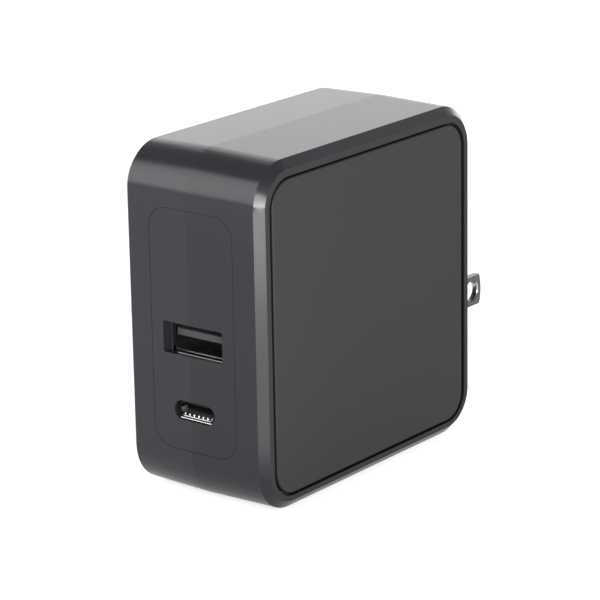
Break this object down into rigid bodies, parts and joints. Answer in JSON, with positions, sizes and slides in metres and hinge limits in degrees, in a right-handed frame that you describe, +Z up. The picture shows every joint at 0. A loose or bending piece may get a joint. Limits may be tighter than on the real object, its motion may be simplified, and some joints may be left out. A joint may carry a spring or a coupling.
{
  "type": "usb wall charger",
  "caption": "Compact rounded mains charger with inset side panels, a type A and a type C socket in one end and folding flat-blade prongs in the other.",
  "frame": {"origin": "on the standing surface, below the middle of the box that the charger fills with its prongs unfolded", "axes": "+X out of the right side panel, -Y out of the ports, +Y towards the wall along the unfolded prongs, +Z up"},
  "size_m": [0.0334, 0.0851, 0.0684],
  "materials": {
    "housing_plastic": "satin moulded polycarbonate, charcoal",
    "panel_plastic": "fine matte texture, charcoal",
    "bay_plastic": "satin moulded polycarbonate, dark charcoal",
    "carrier_plastic": "glass-filled nylon, black",
    "prong_metal": "nickel-plated brass blades",
    "spring_metal": "bright rolled strip",
    "spring_steel": "rolled spring steel",
    "shell_metal": "bright nickel-plated sheet",
    "socket_plastic": "grey moulded insulator",
    "contact_metal": "gold-plated contacts",
    "board_laminate": "green glass-fibre laminate",
    "film_plastic": "clear insulating film",
    "can_aluminium": "bare and sleeved aluminium cans",
    "ferrite": "pressed ferrite",
    "winding_copper": "enamelled copper wire",
    "bobbin_plastic": "black phenolic moulding",
    "capacitor_case": "yellow moulded case",
    "ceramic_blue": "blue lacquered ceramic",
    "fuse_ceramic": "white ceramic tube with caps",
    "chip_epoxy": "black moulded epoxy",
    "spreader_aluminium": "rolled sheet",
    "pad_silicone": "soft filled silicone"
  },
  "bodies": {
    "charger_body": {"right_shell": "housing_plastic", "left_shell": "housing_plastic", "right_side_panel": "panel_plastic", "left_side_panel": "panel_plastic", "port_plate": "housing_plastic", "prong_bay": "bay_plastic", "bay_cover": "bay_plastic", "left_contact_spring": "spring_metal", "right_contact_spring": "spring_metal", "detent_spring": "spring_steel", "main_board": "board_laminate", "port_board": "board_laminate", "usb_a_shell": "shell_metal", "usb_a_moulding": "socket_plastic", "usb_a_contacts": "contact_metal", "usb_c_shell": "shell_metal", "usb_c_moulding": "socket_plastic", "usb_c_contacts": "contact_metal", "insulating_film": "film_plastic", "bulk_capacitors": "can_aluminium", "choke_core": "ferrite", "choke_windings": "winding_copper", "transformer_core": "ferrite", "transformer_bobbin": "bobbin_plastic", "transformer_winding": "winding_copper", "thermal_pad": "pad_silicone", "heat_spreader": "spreader_aluminium", "x_capacitor": "capacitor_case", "y_capacitor": "ceramic_blue", "bridge_rectifier": "chip_epoxy", "fuse": "fuse_ceramic", "control_chips": "chip_epoxy", "power_transistor": "chip_epoxy", "optocoupler": "chip_epoxy", "output_capacitors": "can_aluminium", "output_inductor": "ferrite"},
    "prongs": {"prong_carrier": "carrier_plastic", "left_blade": "prong_metal", "right_blade": "prong_metal"}
  },
  "joints": [
    {"name": "prong_fold", "type": "hinge", "parent": "charger_body", "child": "prongs", "pos_m": [0, 0.02145, 0.0234], "axis": [1, 0, 0], "range_deg": [0, 90]}
  ]
}
